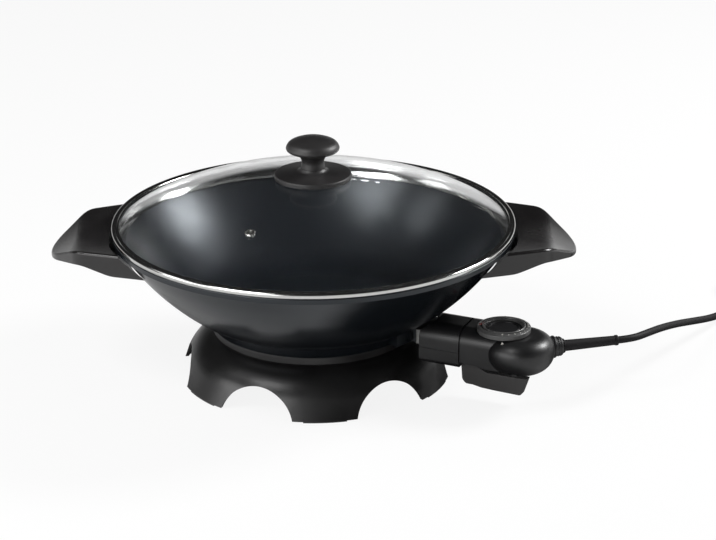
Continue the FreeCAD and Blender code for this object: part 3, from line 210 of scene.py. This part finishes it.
def metal(name, dark, light, rough, stretch=(1.0, 1.0, 1.0)):
    """Bare metal with fine lines or cloud in its gloss."""
    mat, tree, bsdf = new_material(name)
    bsdf.inputs["Metallic"].default_value = 1.0
    lines = noise(tree, scale=300.0, detail=4.0, stretch=stretch)
    tinted(tree, bsdf, lines, dark, light)
    roughness = drifting(tree, lines, rough * 0.7, rough * 1.4)
    tree.links.new(roughness, bsdf.inputs["Roughness"])
    bumped(tree, bsdf, lines, height=0.000006)
    return mat


PAN_DARK = (0.004, 0.005, 0.0065)
PAN_FLECK = (0.03, 0.037, 0.046)
PAN_ROUGH_OUTSIDE = 0.22
PAN_ROUGH_INSIDE = 0.28
PAN_GLOSS_DRIFT = 0.003


def pan_black():
    """Non-stick coat: blue-black, with a faint speckle where it faces up, inside the bowl."""
    mat, tree, bsdf = new_material("pan_coating")
    dots = tree.nodes.new("ShaderNodeTexVoronoi")
    dots.inputs["Scale"].default_value = 520.0
    tree.links.new(object_place(tree), dots.inputs["Vector"])
    speckle = mapped(tree, dots.outputs["Distance"], (0.0, 0.34), (1.0, 0.0))
    cloud = noise(tree, scale=240.0, detail=3.0)
    normal = tree.nodes.new("ShaderNodeNewGeometry").outputs["Normal"]
    inside = mapped(tree, parted(tree, normal)["Z"], (-0.05, 0.05), (0.0, 1.0))
    fleck = combined(tree, "MULTIPLY", combined(tree, "MULTIPLY", speckle, cloud), inside)
    tinted(tree, bsdf, fleck, PAN_DARK, PAN_FLECK, low=0.1, high=1.0)
    gloss = drifting(tree, cloud, -PAN_GLOSS_DRIFT, PAN_GLOSS_DRIFT)
    base = mapped(tree, inside, (0.0, 1.0), (PAN_ROUGH_OUTSIDE, PAN_ROUGH_INSIDE))
    tree.links.new(combined(tree, "ADD", gloss, base), bsdf.inputs["Roughness"])
    bsdf.inputs["Specular Tint"].default_value = (0.89, 0.945, 1.0, 1)
    bumped(tree, bsdf, noise(tree, scale=760.0, detail=1.0), height=0.000006)
    return mat


def clear_glass():
    """Clear glass. Rays from the lamps pass straight through it and light what is under it."""
    mat, tree, bsdf = new_material("lid_glass")
    slow = noise(tree, scale=9.0, detail=2.0)
    tinted(tree, bsdf, slow, (0.95, 0.962, 0.968), (0.975, 0.982, 0.985))
    tree.links.new(drifting(tree, slow, 0.0, 0.012), bsdf.inputs["Roughness"])
    bsdf.inputs["Transmission Weight"].default_value = 1.0
    bsdf.inputs["IOR"].default_value = 1.47
    clear = tree.nodes.new("ShaderNodeBsdfTransparent")
    clear.inputs["Color"].default_value = (0.87, 0.88, 0.89, 1)
    shadow = tree.nodes.new("ShaderNodeLightPath").outputs["Is Shadow Ray"]
    surface = mixed(tree, shadow, bsdf.outputs["BSDF"], clear.outputs["BSDF"])
    tree.links.new(surface, tree.nodes["Material Output"].inputs["Surface"])
    return mat


# dark tone, light tone, roughness and, for drawn or rolled metal, how its lines are stretched
METALS = {
    "element_steel": ((0.2, 0.19, 0.18), (0.36, 0.34, 0.32), 0.45),
    "terminal_steel": ((0.62, 0.61, 0.58), (0.75, 0.74, 0.71), 0.22),
    "sheet_steel": ((0.2, 0.2, 0.195), (0.3, 0.3, 0.29), 0.42, (1.0, 14.0, 1.0)),
    "screw_steel": ((0.24, 0.24, 0.235), (0.36, 0.36, 0.355), 0.42),
    "bright_steel": ((0.5, 0.5, 0.49), (0.6, 0.6, 0.59), 0.12, (1.0, 1.0, 20.0)),
    "contact_brass": ((0.62, 0.47, 0.22), (0.78, 0.62, 0.34), 0.25),
}
# dark tone, light tone, roughness and, where they differ, grain, its height, gloss coat and shine
MOULDINGS = {
    "ceramic": ((0.72, 0.7, 0.64), (0.82, 0.8, 0.75), 0.3, 500.0, 0.00001, 0.5),
    "base_phenolic": ((0.005, 0.0048, 0.005), (0.008, 0.0077, 0.008), 0.34),
    "pad_rubber": ((0.03, 0.03, 0.03), (0.045, 0.045, 0.045), 0.75, 1400.0, 0.00004),
    "handle_phenolic": ((0.007, 0.0064, 0.0066), (0.011, 0.0102, 0.0104), 0.23),
    "case_gloss": ((0.005, 0.005, 0.0055), (0.008, 0.008, 0.0085), 0.42, 700.0, 0.000006, 0.02),
    "case_dark": ((0.006, 0.006, 0.007), (0.01, 0.01, 0.011), 0.42),
    "switch_resin": ((0.24, 0.1, 0.05), (0.33, 0.15, 0.08), 0.5),
    "dial_grey": ((0.06, 0.06, 0.06), (0.08, 0.08, 0.079), 0.4),
    "lever_grey": ((0.03, 0.029, 0.029), (0.038, 0.036, 0.036), 0.55),
    "lamp_lens": ((0.2, 0.02, 0.02), (0.28, 0.03, 0.03), 0.15, 400.0, 0.000004, 0.6),
    "cord_rubber": (
        (0.006, 0.0055, 0.006), (0.01, 0.0095, 0.0105), 0.62, 1500.0, 0.00002, 0.0, 0.2,
    ),
    "plug_plastic": ((0.018, 0.018, 0.018), (0.026, 0.026, 0.026), 0.45),
}
MATERIALS = {"pan_coating": pan_black(), "lid_glass": clear_glass()}
MATERIALS.update((name, metal(name, *look)) for name, look in METALS.items())
MATERIALS.update((name, moulded(name, *look)) for name, look in MOULDINGS.items())
for entry in frame["record"]["subparts"]:
    node = NODES[entry["node"]]
    node.data.materials.clear()
    node.data.materials.append(MATERIALS[entry["material_slot"]])

# nodes whose finish differs from the rest of their slot
SATIN = moulded(
    "knob_satin", (0.009, 0.0083, 0.0086), (0.014, 0.013, 0.0133), 0.47, 1200.0, 0.00003
)
OWN_FINISH = {
    "lid_knob": SATIN,
    "knob_disc": SATIN,
    "vent_eyelet": metal("eyelet_steel", (0.74, 0.73, 0.7), (0.86, 0.85, 0.82), 0.24),
    # painted shade: the regulator's screws sit in counterbores under the housing and are coloured
    # near black, as dark as the shade there
    "regulator_screws": metal("screw_painted_shade", (0.03, 0.03, 0.03), (0.05, 0.05, 0.05), 0.45),
}
for node_name, finish in OWN_FINISH.items():
    NODES[node_name].data.materials[0] = finish

# --------------------------------------------------------------------------------------------- cord

# the cord's free run, from the gland to the coil, in mm
FREE_RUN = [
    (264.95, -61.72, 51.0),
    (278.48, -58.34, 51.0),
    (292.5, -42.5, 49.3),
    (308.0, -18.0, 44.2),
    (327.0, 13.5, 35.2),
    (346.2, 47.4, 23.6),
    (367.5, 80.0, 13.2),
    (386.5, 112.0, 6.2),
    (398.2, 144.0, 4.2),
    (398.2, 178.0, 4.2),
]
TAIL = [(452.0, 217.8, 10.8), (466.0, 217.8, 10.8)]
COIL_X, COIL_Y = 438.0, 178.0
TURNS = 4.25
PER_TURN = 14
# each turn's radius and height: outer low, inner low, inner high, outer high, the last quarter
LAYERS = [(39.6, 4.2), (33.0, 4.2), (33.2, 10.8), (39.6, 10.8), (39.8, 10.8)]
CHANGE = 0.3  # the share of a turn in which the cord passes to the next layer
INSET = 0.985  # the spline runs inside its points, at this share of their radius


def coil_points():
    """The cord's turns as control points of its line, in mm."""
    for step in range(1, int(TURNS * PER_TURN) + 1):
        turn = step / PER_TURN
        layer = int(turn)
        before, after = LAYERS[max(layer - 1, 0)], LAYERS[layer]
        ease = min(1.0, (turn - layer) / CHANGE)
        radius = before[0] + (after[0] - before[0]) * ease
        height = before[1] + (after[1] - before[1]) * ease
        angle = math.pi - turn * math.tau
        reach = radius / INSET
        yield COIL_X + reach * math.cos(angle), COIL_Y + reach * math.sin(angle), height


route = [*FREE_RUN, *coil_points(), *TAIL]
cord_curve = bpy.data.curves.new("power_cord_line", "CURVE")
cord_curve.dimensions = "3D"
cord_curve.bevel_depth = 3.3 * MM
cord_curve.bevel_resolution = 5
cord_curve.resolution_u = 8
cord_curve.use_fill_caps = True
spline = cord_curve.splines.new("NURBS")
spline.points.add(len(route) - 1)
for point, place in zip(spline.points, route):
    point.co = (*[x * MM for x in place], 1)
spline.order_u = 3
spline.use_endpoint_u = True
cord = linked("supply_cord", cord_curve)
cord_curve.materials.append(MATERIALS["cord_rubber"])
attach(cord, "regulator")
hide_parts("power_cord", "cord_coil")

# ------------------------------------------------------------------------------------ turned pieces

# unit vectors along the socket's line, away from the pan, and across it
AWAY = Vector((0.906308, -0.422618, 0))
ACROSS = Vector((0.422618, 0.906308, 0))


def finished(name, bm, body, slot_name, sharp=38.0):
    """Makes a smooth piece from a bmesh. It rides on a body and takes the slot's finish."""
    mesh = bpy.data.meshes.new(name)
    bmesh.ops.recalc_face_normals(bm, faces=bm.faces)
    for face in bm.faces:
        face.smooth = True
    bm.to_mesh(mesh)
    bm.free()
    mesh.set_sharp_from_angle(angle=math.radians(sharp))
    mesh.materials.append(MATERIALS[slot_name])
    piece = linked(name, mesh)
    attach(piece, body)
    return piece


def turned(outline, segments, place, start=0.0, sweep=math.tau):
    """Turns a closed outline of radii and heights, in mm, round the upright axis of a place."""
    whole = sweep >= math.tau
    bm = bmesh.new()
    rings = []
    for step in range(segments if whole else segments + 1):
        angle = start + sweep * step / segments
        across, along = math.cos(angle), math.sin(angle)
        ring = [place @ Vector((r * across * MM, r * along * MM, z * MM)) for r, z in outline]
        rings.append([bm.verts.new(spot) for spot in ring])
    count = len(outline)
    for step in range(segments):
        one, two = rings[step], rings[(step + 1) % len(rings)]
        for k in range(count):
            bm.faces.new((one[k], two[k], two[(k + 1) % count], one[(k + 1) % count]))
    if not whole:
        bm.faces.new(rings[0])
        bm.faces.new(rings[-1])
    return bm


# the lid's band: rolled rim, flange under the glass and the skirt that hangs into the pan
BAND_OUTLINE = [
    (170.95, 140.66), (170.88, 141.0), (171.1, 141.34), (171.55, 141.5), (172.1, 141.5),
    (172.55, 141.36), (172.9, 141.12), (173.3, 140.98), (174.1, 140.98), (174.5, 141.1),
    (174.95, 141.34), (175.5, 141.52), (176.1, 141.55), (176.8, 141.4), (177.4, 141.02),
    (177.8, 140.45), (177.96, 139.8), (177.98, 139.1), (177.98, 138.1), (177.86, 137.55),
    (177.5, 137.15), (176.9, 136.97), (171.4, 136.9), (170.0, 134.8), (169.2, 133.8),
    (165.4, 127.1), (165.0, 126.95), (164.7, 127.4), (165.0, 127.9), (168.2, 134.4),
    (169.0, 134.8), (170.6, 137.45), (177.3, 137.45), (177.38, 139.8), (177.2, 140.3),
    (176.7, 140.66),
]
band_form = turned(BAND_OUTLINE, 256, Matrix.Identity(4))
band = finished("rim_band_rolled", band_form, "lid", "bright_steel")
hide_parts("lid_rim_band")

# --------------------------------------------------------------------------------------------- dial

DIAL_AT = AWAY * 0.1816
DIAL = Matrix.Translation(DIAL_AT) @ Matrix.Rotation(math.atan2(AWAY.y, AWAY.x), 4, "Z")
CROWN_OUTLINE = [
    (22.5, 70.6), (22.2, 71.12), (21.4, 71.45), (20.5, 71.8), (20.2, 71.8), (20.05, 71.05),
    (19.15, 71.05), (18.95, 72.2), (18.6, 72.5), (18.0, 72.6), (17.45, 72.35), (17.15, 71.7),
    (17.0, 70.6),
]
RECESS_OUTLINE = [(13.6, 69.0), (13.6, 69.75), (13.2, 70.0), (12.8, 69.75), (12.6, 69.0)]
TICK_OUTLINE = [(21.75, 71.25), (20.6, 71.7), (20.6, 71.82), (21.75, 71.37)]
OFF_MARK_OUTLINE = [(21.6, 71.2), (17.6, 72.4), (17.6, 72.68), (20.1, 71.95), (21.7, 71.4)]
ZERO_AT = math.radians(-72.0)
MARK_DEGREES = 15.0
MARKS = 19
MARKS_PER_FIGURE = 3
TICK_HALF_WIDTH = 0.009  # in radians
OFF_MARK_AT = math.radians(-172.0)
OFF_MARK_SWEEP = math.radians(13.0)
FIGURE_PLACE = Matrix.Translation((0, -21.9 * MM, 71.33 * MM))
FIGURE_SLOPE = Matrix.Rotation(math.radians(22.0), 4, "X")


def dial_figure(number, angle):
    text = bpy.data.curves.new(f"dial_figure_{number}", "FONT")
    text.body = str(number)
    text.size = 2.3 * MM
    text.extrude = 0.06 * MM
    text.align_x = "CENTER"
    text.materials.append(MATERIALS["ceramic"])
    figure = linked(f"dial_figure_{number}", text)
    turn = Matrix.Rotation(angle + math.pi / 2, 4, "Z")
    figure.matrix_world = DIAL @ turn @ FIGURE_PLACE @ FIGURE_SLOPE
    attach(figure, "dial")


finished("dial_crown", turned(CROWN_OUTLINE, 120, DIAL), "dial", "dial_grey", sharp=30.0)
finished("dial_inner_rib", turned(RECESS_OUTLINE, 96, DIAL), "dial", "case_dark")
for mark in range(MARKS):
    mark_angle = ZERO_AT + math.radians(MARK_DEGREES * mark)
    if mark % MARKS_PER_FIGURE == 0:
        dial_figure(mark // MARKS_PER_FIGURE, mark_angle)
        continue
    tick = turned(TICK_OUTLINE, 2, DIAL, mark_angle - TICK_HALF_WIDTH, TICK_HALF_WIDTH * 2)
    finished(f"dial_tick_{mark:02d}", tick, "dial", "ceramic", sharp=30.0)
off_mark = turned(OFF_MARK_OUTLINE, 6, DIAL, OFF_MARK_AT, OFF_MARK_SWEEP)
finished("dial_off_mark", off_mark, "dial", "lamp_lens")

# -------------------------------------------------------------------- rings round the cord's outlet

OUTLET_AT = AWAY * 0.197 + Vector((0, 0, 0.051))
OUTLET = Matrix.Translation(OUTLET_AT) @ Matrix.Rotation(math.radians(14.0), 4, "Z")
OUTLET_AXIS = OUTLET @ Matrix.Rotation(math.pi / 2, 4, "Y")

# start and end along the outlet's axis, radius and depth, in mm
OUTLET_RINGS = [
    ("gland_flange", 29.3, 30.7, 9.75, 0.8, "case_dark"),
    ("gland_rib_1", 33.2, 34.2, 8.75, 0.8, "case_dark"),
    ("gland_rib_2", 35.2, 36.2, 8.55, 0.8, "case_dark"),
    ("sleeve_collar", 38.0, 39.6, 6.3, 1.6, "cord_rubber"),
    ("sleeve_end_ring", 86.4, 88.7, 4.6, 0.7, "cord_rubber"),
]
for name, start, end, radius, depth, slot_name in OUTLET_RINGS:
    rounded = [
        (radius - depth, start), (radius - 0.12, start), (radius, start + 0.2),
        (radius + 0.04, (start + end) / 2),
        (radius, end - 0.2), (radius - 0.12, end), (radius - depth, end),
    ]
    finished(name, turned(rounded, 56, OUTLET_AXIS), "regulator", slot_name)

# ----------------------------------------------------------------------------------- lever's spring


def spring_coil(bottom, top, radius, wire, turns, centre, per_turn=24, sides=10):
    """Round wire wound round an upright axis, in mm. The centre is in metres."""
    bm = bmesh.new()
    steps = turns * per_turn
    rings = []
    for step in range(steps + 1):
        angle = math.tau * step / per_turn
        height = bottom + wire + (top - bottom - 2 * wire) * step / steps
        outward = Vector((math.cos(angle), math.sin(angle), 0))
        ring = []
        for side in range(sides):
            lean = math.tau * side / sides
            out = outward * (radius + wire * math.cos(lean))
            rise = Vector((0, 0, height + wire * math.sin(lean)))
            ring.append(bm.verts.new(centre + (out + rise) * MM))
        rings.append(ring)
    for one, two in zip(rings, rings[1:]):
        for k in range(sides):
            bm.faces.new((one[k], two[k], two[(k + 1) % sides], one[(k + 1) % sides]))
    bm.faces.new(rings[0])
    bm.faces.new(rings[-1])
    return bm


spring_low, spring_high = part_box("lever_spring")
spring_mid = (spring_low + spring_high) / 2
spring_axis = Vector((spring_mid.x, spring_mid.y, 0))
coil = spring_coil(
    bottom=spring_low.z / MM,
    top=spring_high.z / MM,
    radius=2.6,
    wire=0.33,
    turns=3,
    centre=spring_axis,
)
spring = finished("lever_return_spring", coil, "regulator", "screw_steel")
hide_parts("lever_spring")
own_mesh(spring)

# ----------------------------------------------------------------------------------- dial's pointer

# the triangle's corners, in mm along and across the socket's line
POINTER = [(187.9, -19.9), (187.9, -22.9), (190.3, -22.3)]
POINTER_UNDER = 0.1 * MM
POINTER_OVER = 0.12 * MM


def pointer_triangle():
    """A thin triangle that lies on the regulator's upper housing."""
    housing = NODES["regulator_upper_housing"]
    surface = BVHTree.FromObject(housing, bpy.context.evaluated_depsgraph_get())
    bm = bmesh.new()
    under, over = [], []
    for along, across in POINTER:
        above = (AWAY * along + ACROSS * across) * MM + Vector((0, 0, 0.3))
        place, normal = surface.ray_cast(above, Vector((0, 0, -1)))[:2]
        under.append(bm.verts.new(place - normal * POINTER_UNDER))
        over.append(bm.verts.new(place + normal * POINTER_OVER))
    bm.faces.new(over)
    bm.faces.new(under[::-1])
    for k in range(3):
        bm.faces.new((under[k], under[(k + 1) % 3], over[(k + 1) % 3], over[k]))
    return bm


finished("pointer_mark", pointer_triangle(), "regulator", "ceramic", sharp=20.0)

# ------------------------------------------------------------------------------------ stage, lights

WHITE = (1, 1, 1, 1)
FLOOR_GLOW = 0.88  # the rest of what is seen of the floor is lit, and keeps the shadow
SOCKET_AT = (0.11, -0.09, 0)  # the floor's point under the pan's socket, centre of a painted shadow seen in reflections
AMBIENT = 0.12  # the world's strength in diffuse light
OVERHEAD = 0.02  # and above the horizon in reflections


def glowing(tree, strength):
    node = tree.nodes.new("ShaderNodeEmission")
    node.inputs["Color"].default_value = WHITE
    node.inputs["Strength"].default_value = strength
    return node.outputs["Emission"]


def floor_white():
    """White where it is seen directly or through glass. Reflections show the white only from some
    way off, and the floor close by keeps its own light. In them it is black behind and right of
    the pan and round the socket: a painted shadow of the pan and its socket."""
    mat, tree, bsdf = new_material("floor_white")
    bsdf.inputs["Base Color"].default_value = (0.75, 0.75, 0.75, 1)
    bsdf.inputs["Roughness"].default_value = 0.9
    bsdf.inputs["Specular IOR Level"].default_value = 0.1
    rays = tree.nodes.new("ShaderNodeLightPath").outputs
    glossy = rays["Is Glossy Ray"]
    where = object_place(tree)
    away = distance_from(tree, where, (0, 0, 0))
    from_socket = distance_from(tree, where, SOCKET_AT)
    sides = parted(tree, where)

    far = combined(tree, "MULTIPLY", mapped(tree, away, (0.8, 1.8), (0.0, 1.0)), glossy)
    seen = combined(tree, "MAXIMUM", rays["Is Camera Ray"], rays["Is Transmission Ray"])
    share = combined(tree, "MULTIPLY", combined(tree, "MAXIMUM", seen, far), FLOOR_GLOW)
    lit = mixed(tree, share, bsdf.outputs["BSDF"], glowing(tree, 1.0))

    # painted shadow, seen only in reflections: black behind and right of the pan, where it shades
    # the floor
    behind = glossy
    for limit in (
        mapped(tree, sides["X"], (0.02, 0.1), (0.0, 1.0)),
        mapped(tree, sides["Y"], (-0.1, -0.03), (0.0, 1.0)),
        mapped(tree, away, (0.3, 0.8), (1.0, 0.0)),
    ):
        behind = combined(tree, "MULTIPLY", behind, limit)
    # painted shadow, seen only in reflections: black round the floor's point under the socket
    close = mapped(tree, from_socket, (0.075, 0.12), (1.0, 0.0))
    shade = combined(tree, "MAXIMUM", behind, combined(tree, "MULTIPLY", close, glossy))
    # the painted shadow shows as black glow in place of the lit floor
    surface = mixed(tree, shade, lit, glowing(tree, 0.0))
    tree.links.new(surface, tree.nodes["Material Output"].inputs["Surface"])
    return mat


def stage_floor():
    mesh = bpy.data.meshes.new("floor")
    bm = bmesh.new()
    bmesh.ops.create_circle(bm, cap_ends=True, segments=96, radius=14.0)
    bm.to_mesh(mesh)
    bm.free()
    mesh.materials.append(floor_white())
    linked("floor", mesh)


def world_light():
    """White where it is seen directly. In reflections it is white along the horizon, less so on the
    left, and dark above it."""
    world = bpy.data.worlds.new("studio")
    bpy.context.scene.world = world
    world.use_nodes = True
    tree = world.node_tree
    tree.nodes.clear()
    rays = tree.nodes.new("ShaderNodeLightPath").outputs
    direction = parted(tree, tree.nodes.new("ShaderNodeTexCoord").outputs["Generated"])
    side = mapped(tree, direction["X"], (-0.35, 0.3), (0.4, 1.1))
    low = mapped(tree, direction["Z"], (0.09, 0.15), (1.0, 0.0))
    level = combined(tree, "ADD", combined(tree, "MULTIPLY", side, low), OVERHEAD)
    for ray, strength in ((rays["Is Diffuse Ray"], AMBIENT), (rays["Is Camera Ray"], 1.0)):
        choice = tree.nodes.new("ShaderNodeMix")
        tree.links.new(ray, choice.inputs["Factor"])
        tree.links.new(level, choice.inputs["A"])
        choice.inputs["B"].default_value = strength
        level = choice.outputs["Result"]
    sky = tree.nodes.new("ShaderNodeBackground")
    sky.inputs["Color"].default_value = WHITE
    tree.links.new(level, sky.inputs["Strength"])
    output = tree.nodes.new("ShaderNodeOutputWorld")
    tree.links.new(sky.outputs["Background"], output.inputs["Surface"])


def softbox(name, azimuth, elevation, distance, size, radiance):
    """Area lamp that faces the wok. The azimuth runs from the back towards the right."""
    turn, rise = math.radians(azimuth), math.radians(elevation)
    flat = math.cos(rise)
    place = Vector((math.sin(turn) * flat, math.cos(turn) * flat, math.sin(rise)))
    light = bpy.data.lights.new(name, "AREA")
    light.shape = "RECTANGLE"
    light.size, light.size_y = size
    light.energy = radiance * math.pi * size[0] * size[1]
    lamp = linked(name, light)
    lamp.location = place * distance + Vector((0, 0, 0.08))
    lamp.rotation_euler = (-place).to_track_quat("-Z", "Y").to_euler()
    lamp.visible_camera = False


stage_floor()
world_light()
softbox("left_high", -128.0, 52.0, 1.8, (0.7, 0.6), 13.0)
softbox("left_side", -82.0, 42.0, 1.9, (0.6, 0.5), 4.0)
softbox("right_side", 72.0, 34.5, 2.0, (0.62, 0.52), 40.0)
softbox("front_left", -128.0, 14.0, 2.2, (3.0, 0.8), 4.8)
